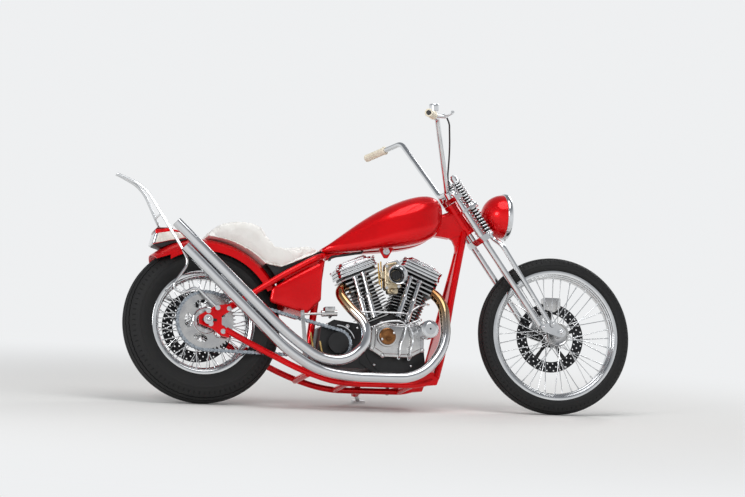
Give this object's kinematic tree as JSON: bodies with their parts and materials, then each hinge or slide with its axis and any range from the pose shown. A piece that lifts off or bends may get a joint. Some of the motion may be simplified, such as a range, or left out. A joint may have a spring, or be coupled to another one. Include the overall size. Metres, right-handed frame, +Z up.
{
  "type": "chopper motorcycle",
  "caption": "Long rigid-frame chopper leaning on its side stand, with a springer fork, wire wheels, an open V-twin engine, high bars, a sissy bar and upswept pipes.",
  "frame": {"origin": "middle of the leaned machine's footprint, on the ground", "axes": "+X towards the front wheel, +Y towards the machine's left, +Z up; the machine leans 12 degrees towards +Y on its side stand"},
  "size_m": [2.2514, 0.9472, 1.2934],
  "materials": {
    "black_cable": "satin",
    "black_metal": "satin",
    "chrome": "mirror",
    "clear_glass": "clear",
    "polished_aluminium": "polished",
    "red": "gloss candy paint",
    "red_lens": "clear",
    "steel": "oiled",
    "tyre": "matt",
    "white_rubber": "satin",
    "white_vinyl": "satin, in tucked rolls"
  },
  "bodies": {
    "frame": {"cam_cover": "polished_aluminium", "carburettor": "chrome", "chain": "steel", "chain_guard": "chrome", "crankcase": "black_metal", "cylinders": "black_metal", "exhaust_front": "chrome", "exhaust_rear": "chrome", "foot_controls": "black_metal", "frame_cradle": "red", "frame_down_tubes": "red", "frame_head": "red", "frame_stays": "red", "fuel_cap": "chrome", "fuel_hose": "black_cable", "fuel_tank": "red", "oil_filter": "chrome", "oil_tank": "red", "primary_cover": "chrome", "pushrod_tubes": "chrome", "rear_brake": "polished_aluminium", "rear_fender": "red", "rocker_covers": "chrome", "seat": "white_vinyl", "sissy_bar": "chrome", "tail_lamp_body": "chrome", "tail_lamp_lens": "red_lens"},
    "fork": {"bar_cable": "black_cable", "fork_rigid_legs": "chrome", "fork_rockers": "chrome", "fork_spring_legs": "chrome", "fork_springs": "chrome", "fork_trees": "chrome", "front_caliper": "polished_aluminium", "grips": "white_rubber", "hand_controls": "chrome", "handlebar": "chrome", "headlamp_lens": "clear_glass", "headlamp_shell": "red"},
    "front_wheel": {"front_disc": "black_metal", "front_tyre": "tyre", "front_wire_wheel": "chrome"},
    "rear_wheel": {"rear_disc": "black_metal", "rear_sprocket": "polished_aluminium", "rear_tyre": "tyre", "rear_wire_wheel": "chrome"},
    "side_stand": {"side_stand": "chrome"}
  },
  "joints": [
    {"name": "steering", "type": "hinge", "parent": "frame", "child": "fork", "pos_m": [0.32831, -0.06071, 0.87055], "axis": [0.5664, -0.1713, -0.8061], "range_deg": [-30, 30]},
    {"name": "front_wheel_spin", "type": "hinge", "parent": "fork", "child": "front_wheel", "pos_m": [0.78831, -0.17516, 0.33212], "axis": [0, 0.9781, -0.2079], "continuous": true},
    {"name": "rear_wheel_spin", "type": "hinge", "parent": "frame", "child": "rear_wheel", "pos_m": [-0.75669, -0.1763, 0.32675], "axis": [0, 0.9781, -0.2079], "continuous": true},
    {"name": "side_stand_fold", "type": "hinge", "parent": "frame", "child": "side_stand", "pos_m": [-0.05669, -0.08381, 0.05963], "axis": [0.0551, 0.3617, 0.9307], "range_deg": [0, 101.5]}
  ]
}
